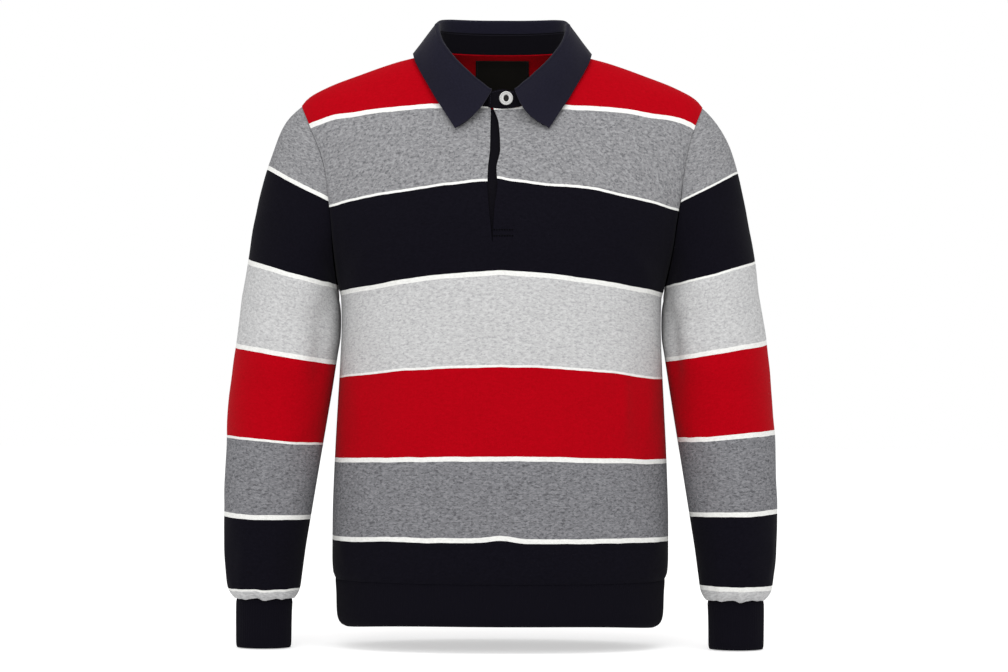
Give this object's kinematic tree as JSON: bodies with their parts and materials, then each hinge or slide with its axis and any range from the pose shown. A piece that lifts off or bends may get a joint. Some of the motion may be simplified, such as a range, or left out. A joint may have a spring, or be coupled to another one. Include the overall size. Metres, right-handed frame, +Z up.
{
  "type": "striped long-sleeved sweater",
  "caption": "Striped cotton sweater, filled out as worn, with set-in sleeves, ribbed cuffs and hem, a pointed woven collar and a concealed half placket.",
  "frame": {"origin": "the middle of the neck between the shoulder seams' inner ends, where the wearer's neck and shoulders hold the garment up", "axes": "+Z up along the body, -Y out of the front, +X towards the wearer's left sleeve"},
  "size_m": [0.66, 0.2577, 0.7532],
  "materials": {
    "jersey": "matt striped cotton jersey",
    "rib": "matt fine rib, navy",
    "collar_twill": "matt woven cotton twill, navy",
    "button_white": "soft satin",
    "button_dark": "matt",
    "label": "matt woven tape, bare"
  },
  "bodies": {
    "root": {"front": "jersey", "back": "jersey", "sleeve_left": "jersey", "sleeve_right": "jersey", "cuff_left": "rib", "cuff_right": "rib", "hem_band": "rib", "collar_stand": "collar_twill", "collar_leaf": "collar_twill", "under_placket": "collar_twill", "collar_button": "button_white", "button_middle": "button_dark", "neck_label": "label"}
  },
  "joints": []
}
